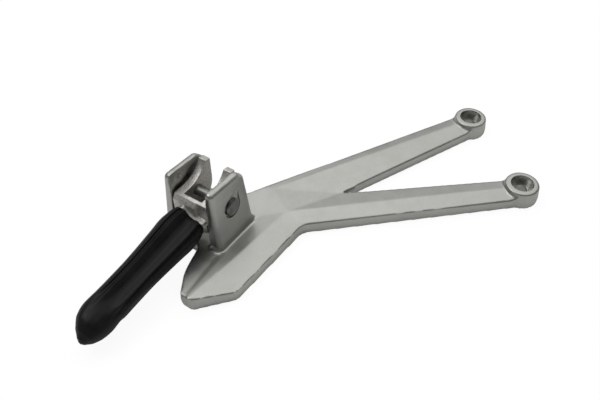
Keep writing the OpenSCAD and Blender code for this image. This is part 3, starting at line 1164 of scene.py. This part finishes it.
@dataclass
class PinHardware:
    """The pin, its washer and split pin, and the detent: these small turned and
    bent parts look right as the solids they are, and only get their metal.
    """

    steel_nodes: tuple[str, ...] = ("hinge_pin", "detent_spring")
    plated_nodes: tuple[str, ...] = ("pin_washer", "split_pin", "detent_ball")

    def build(
        self, steel: bpy.types.Material, plated: bpy.types.Material
    ) -> list[bpy.types.Object]:
        """Dresses the nodes.

        Args:
            steel: Material of the pin and the spring.
            plated: Material of the washer, split pin and ball.

        Returns:
            The dressed solids.
        """
        dressed = []
        for nodes, material in [(self.steel_nodes, steel), (self.plated_nodes, plated)]:
            for node in nodes:
                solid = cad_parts[node]
                solid.data.materials.clear()
                solid.data.materials.append(material)
                dressed.append(solid)
        return dressed


# Studio


@dataclass(frozen=True)
class Lamp:
    """A square soft lamp: its place and side in metres, and its watts."""

    name: str
    place: tuple[float, float, float]
    side: float
    watts: float


@dataclass
class Studio:
    """White table, white surround, soft lamps and the camera.

    The eye is in millimetres, the lamps and the table are in metres. The camera
    sees the table as plain white with a faint shadow. Metal sees it much darker,
    so that the casting's walls stand out against it.
    """

    eye: tuple[float, float, float] = (-395.7, -60.7, 374.6)
    right: tuple[float, float, float] = (0.5575, -0.8302, -0.0028)
    up: tuple[float, float, float] = (0.6009, 0.4012, 0.6913)
    back: tuple[float, float, float] = (-0.5728, -0.3871, 0.7225)
    lens_mm: float = 39.85
    sensor_mm: float = 36.0
    clip: tuple[float, float] = (0.01, 50.0)
    aim: tuple[float, float, float] = (-0.06, 0.09, 0.02)
    soft_box: Lamp = Lamp("soft_box", (0.4, 0.4, 1.25), 2.1, 13.5)
    key_lamp: Lamp = Lamp("key_lamp", (-0.6, 0.8, 1.3), 0.5, 3.5)
    surround: float = 0.15
    table_half: float = 6.0
    table_drop: float = 0.0002
    table_colour: str = "#f4f4f4"
    table_glow: float = 1.08
    camera_share: float = 0.86
    glossy_share: float = 0.1

    def camera(self) -> None:
        """Puts the camera where the photograph was taken from."""
        data = bpy.data.cameras.new("camera")
        data.lens = self.lens_mm
        data.sensor_width = self.sensor_mm
        data.clip_start, data.clip_end = self.clip
        camera = linked("camera", data)
        turn = Matrix([self.right, self.up, self.back]).transposed()
        camera.matrix_world = Matrix.Translation(Vector(self.eye) * MM) @ turn.to_4x4()
        bpy.context.scene.camera = camera

    def hang(self, lamp: Lamp) -> None:
        """Hangs a lamp so that it faces the object.

        Args:
            lamp: What it is and where it goes.
        """
        data = bpy.data.lights.new(lamp.name, "AREA")
        data.size = lamp.side
        data.energy = lamp.watts
        hung = linked(lamp.name, data)
        hung.location = lamp.place
        facing = Vector(self.aim) - Vector(lamp.place)
        hung.rotation_euler = facing.to_track_quat("-Z", "Y").to_euler()

    def table(self) -> None:
        """A wide white table top just under the mounting face."""
        data = bpy.data.meshes.new("table_top")
        half = self.table_half
        corners = [(-half, -half), (half, -half), (half, half), (-half, half)]
        data.from_pydata([(x, y, -self.table_drop) for x, y in corners], [], [(0, 1, 2, 3)])
        table = linked("table_top", data)
        material = bpy.data.materials.new("white_table")
        material.use_nodes = True
        tree = material.node_tree
        tree.nodes.clear()
        path = add_node(tree, "ShaderNodeLightPath")
        glossy = add_node(
            tree,
            "ShaderNodeMath",
            {"operation": "MULTIPLY"},
            in0=path.outputs["Is Glossy Ray"],
            in1=self.glossy_share,
        )
        share = add_node(
            tree,
            "ShaderNodeMath",
            {"operation": "MULTIPLY_ADD"},
            in0=path.outputs["Is Camera Ray"],
            in1=self.camera_share,
            in2=glossy.outputs[0],
        )
        matt = add_node(tree, "ShaderNodeBsdfDiffuse", Color=linear(self.table_colour))
        white = add_node(
            tree, "ShaderNodeEmission", Color=linear("#ffffff"), Strength=self.table_glow
        )
        mixed = add_node(
            tree,
            "ShaderNodeMixShader",
            in0=share.outputs[0],
            in1=matt.outputs[0],
            in2=white.outputs[0],
        )
        add_node(tree, "ShaderNodeOutputMaterial", Surface=mixed.outputs[0])
        data.materials.append(material)

    def sky(self) -> None:
        """White surround: full white to the camera, dimmer as light."""
        world = bpy.data.worlds.new("surround")
        world.use_nodes = True
        tree = world.node_tree
        tree.nodes.clear()
        path = add_node(tree, "ShaderNodeLightPath")
        white = linear("#ffffff")
        dim = add_node(tree, "ShaderNodeBackground", Color=white, Strength=self.surround)
        full = add_node(tree, "ShaderNodeBackground", Color=white, Strength=1.0)
        mixed = add_node(
            tree,
            "ShaderNodeMixShader",
            in0=path.outputs["Is Camera Ray"],
            in1=dim.outputs[0],
            in2=full.outputs[0],
        )
        add_node(tree, "ShaderNodeOutputWorld", Surface=mixed.outputs[0])
        bpy.context.scene.world = world

    def build(self) -> None:
        """Sets up the whole studio."""
        self.camera()
        self.table()
        self.sky()
        self.hang(self.soft_box)
        self.hang(self.key_lamp)
        bpy.context.scene.view_settings.view_transform = "Standard"


def main() -> None:
    """Builds the studio and every piece."""
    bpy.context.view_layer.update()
    Studio().build()
    blasted = BlastedAluminium().material()
    machined = TurnedMetal("machined_aluminium", "#c9cac6", "#aaaba6", 0.32).material()
    steel = TurnedMetal("rolled_steel", "#8b8b89", "#626260", 0.38).material()
    plated = TurnedMetal("zinc_plated_steel", "#b8babd", "#9a9c9f", 0.3).material()
    pieces = [
        HangerCasting().build(blasted, machined),
        PegCasting().build(RawCastAluminium().material()),
        PegRubber().build(MouldedRubber().material()),
        *PinHardware().build(steel, plated),
    ]
    for piece in pieces:
        LOG.info("%s: %d faces", piece.name, len(piece.data.polygons))


if __name__ == "__main__":
    main()
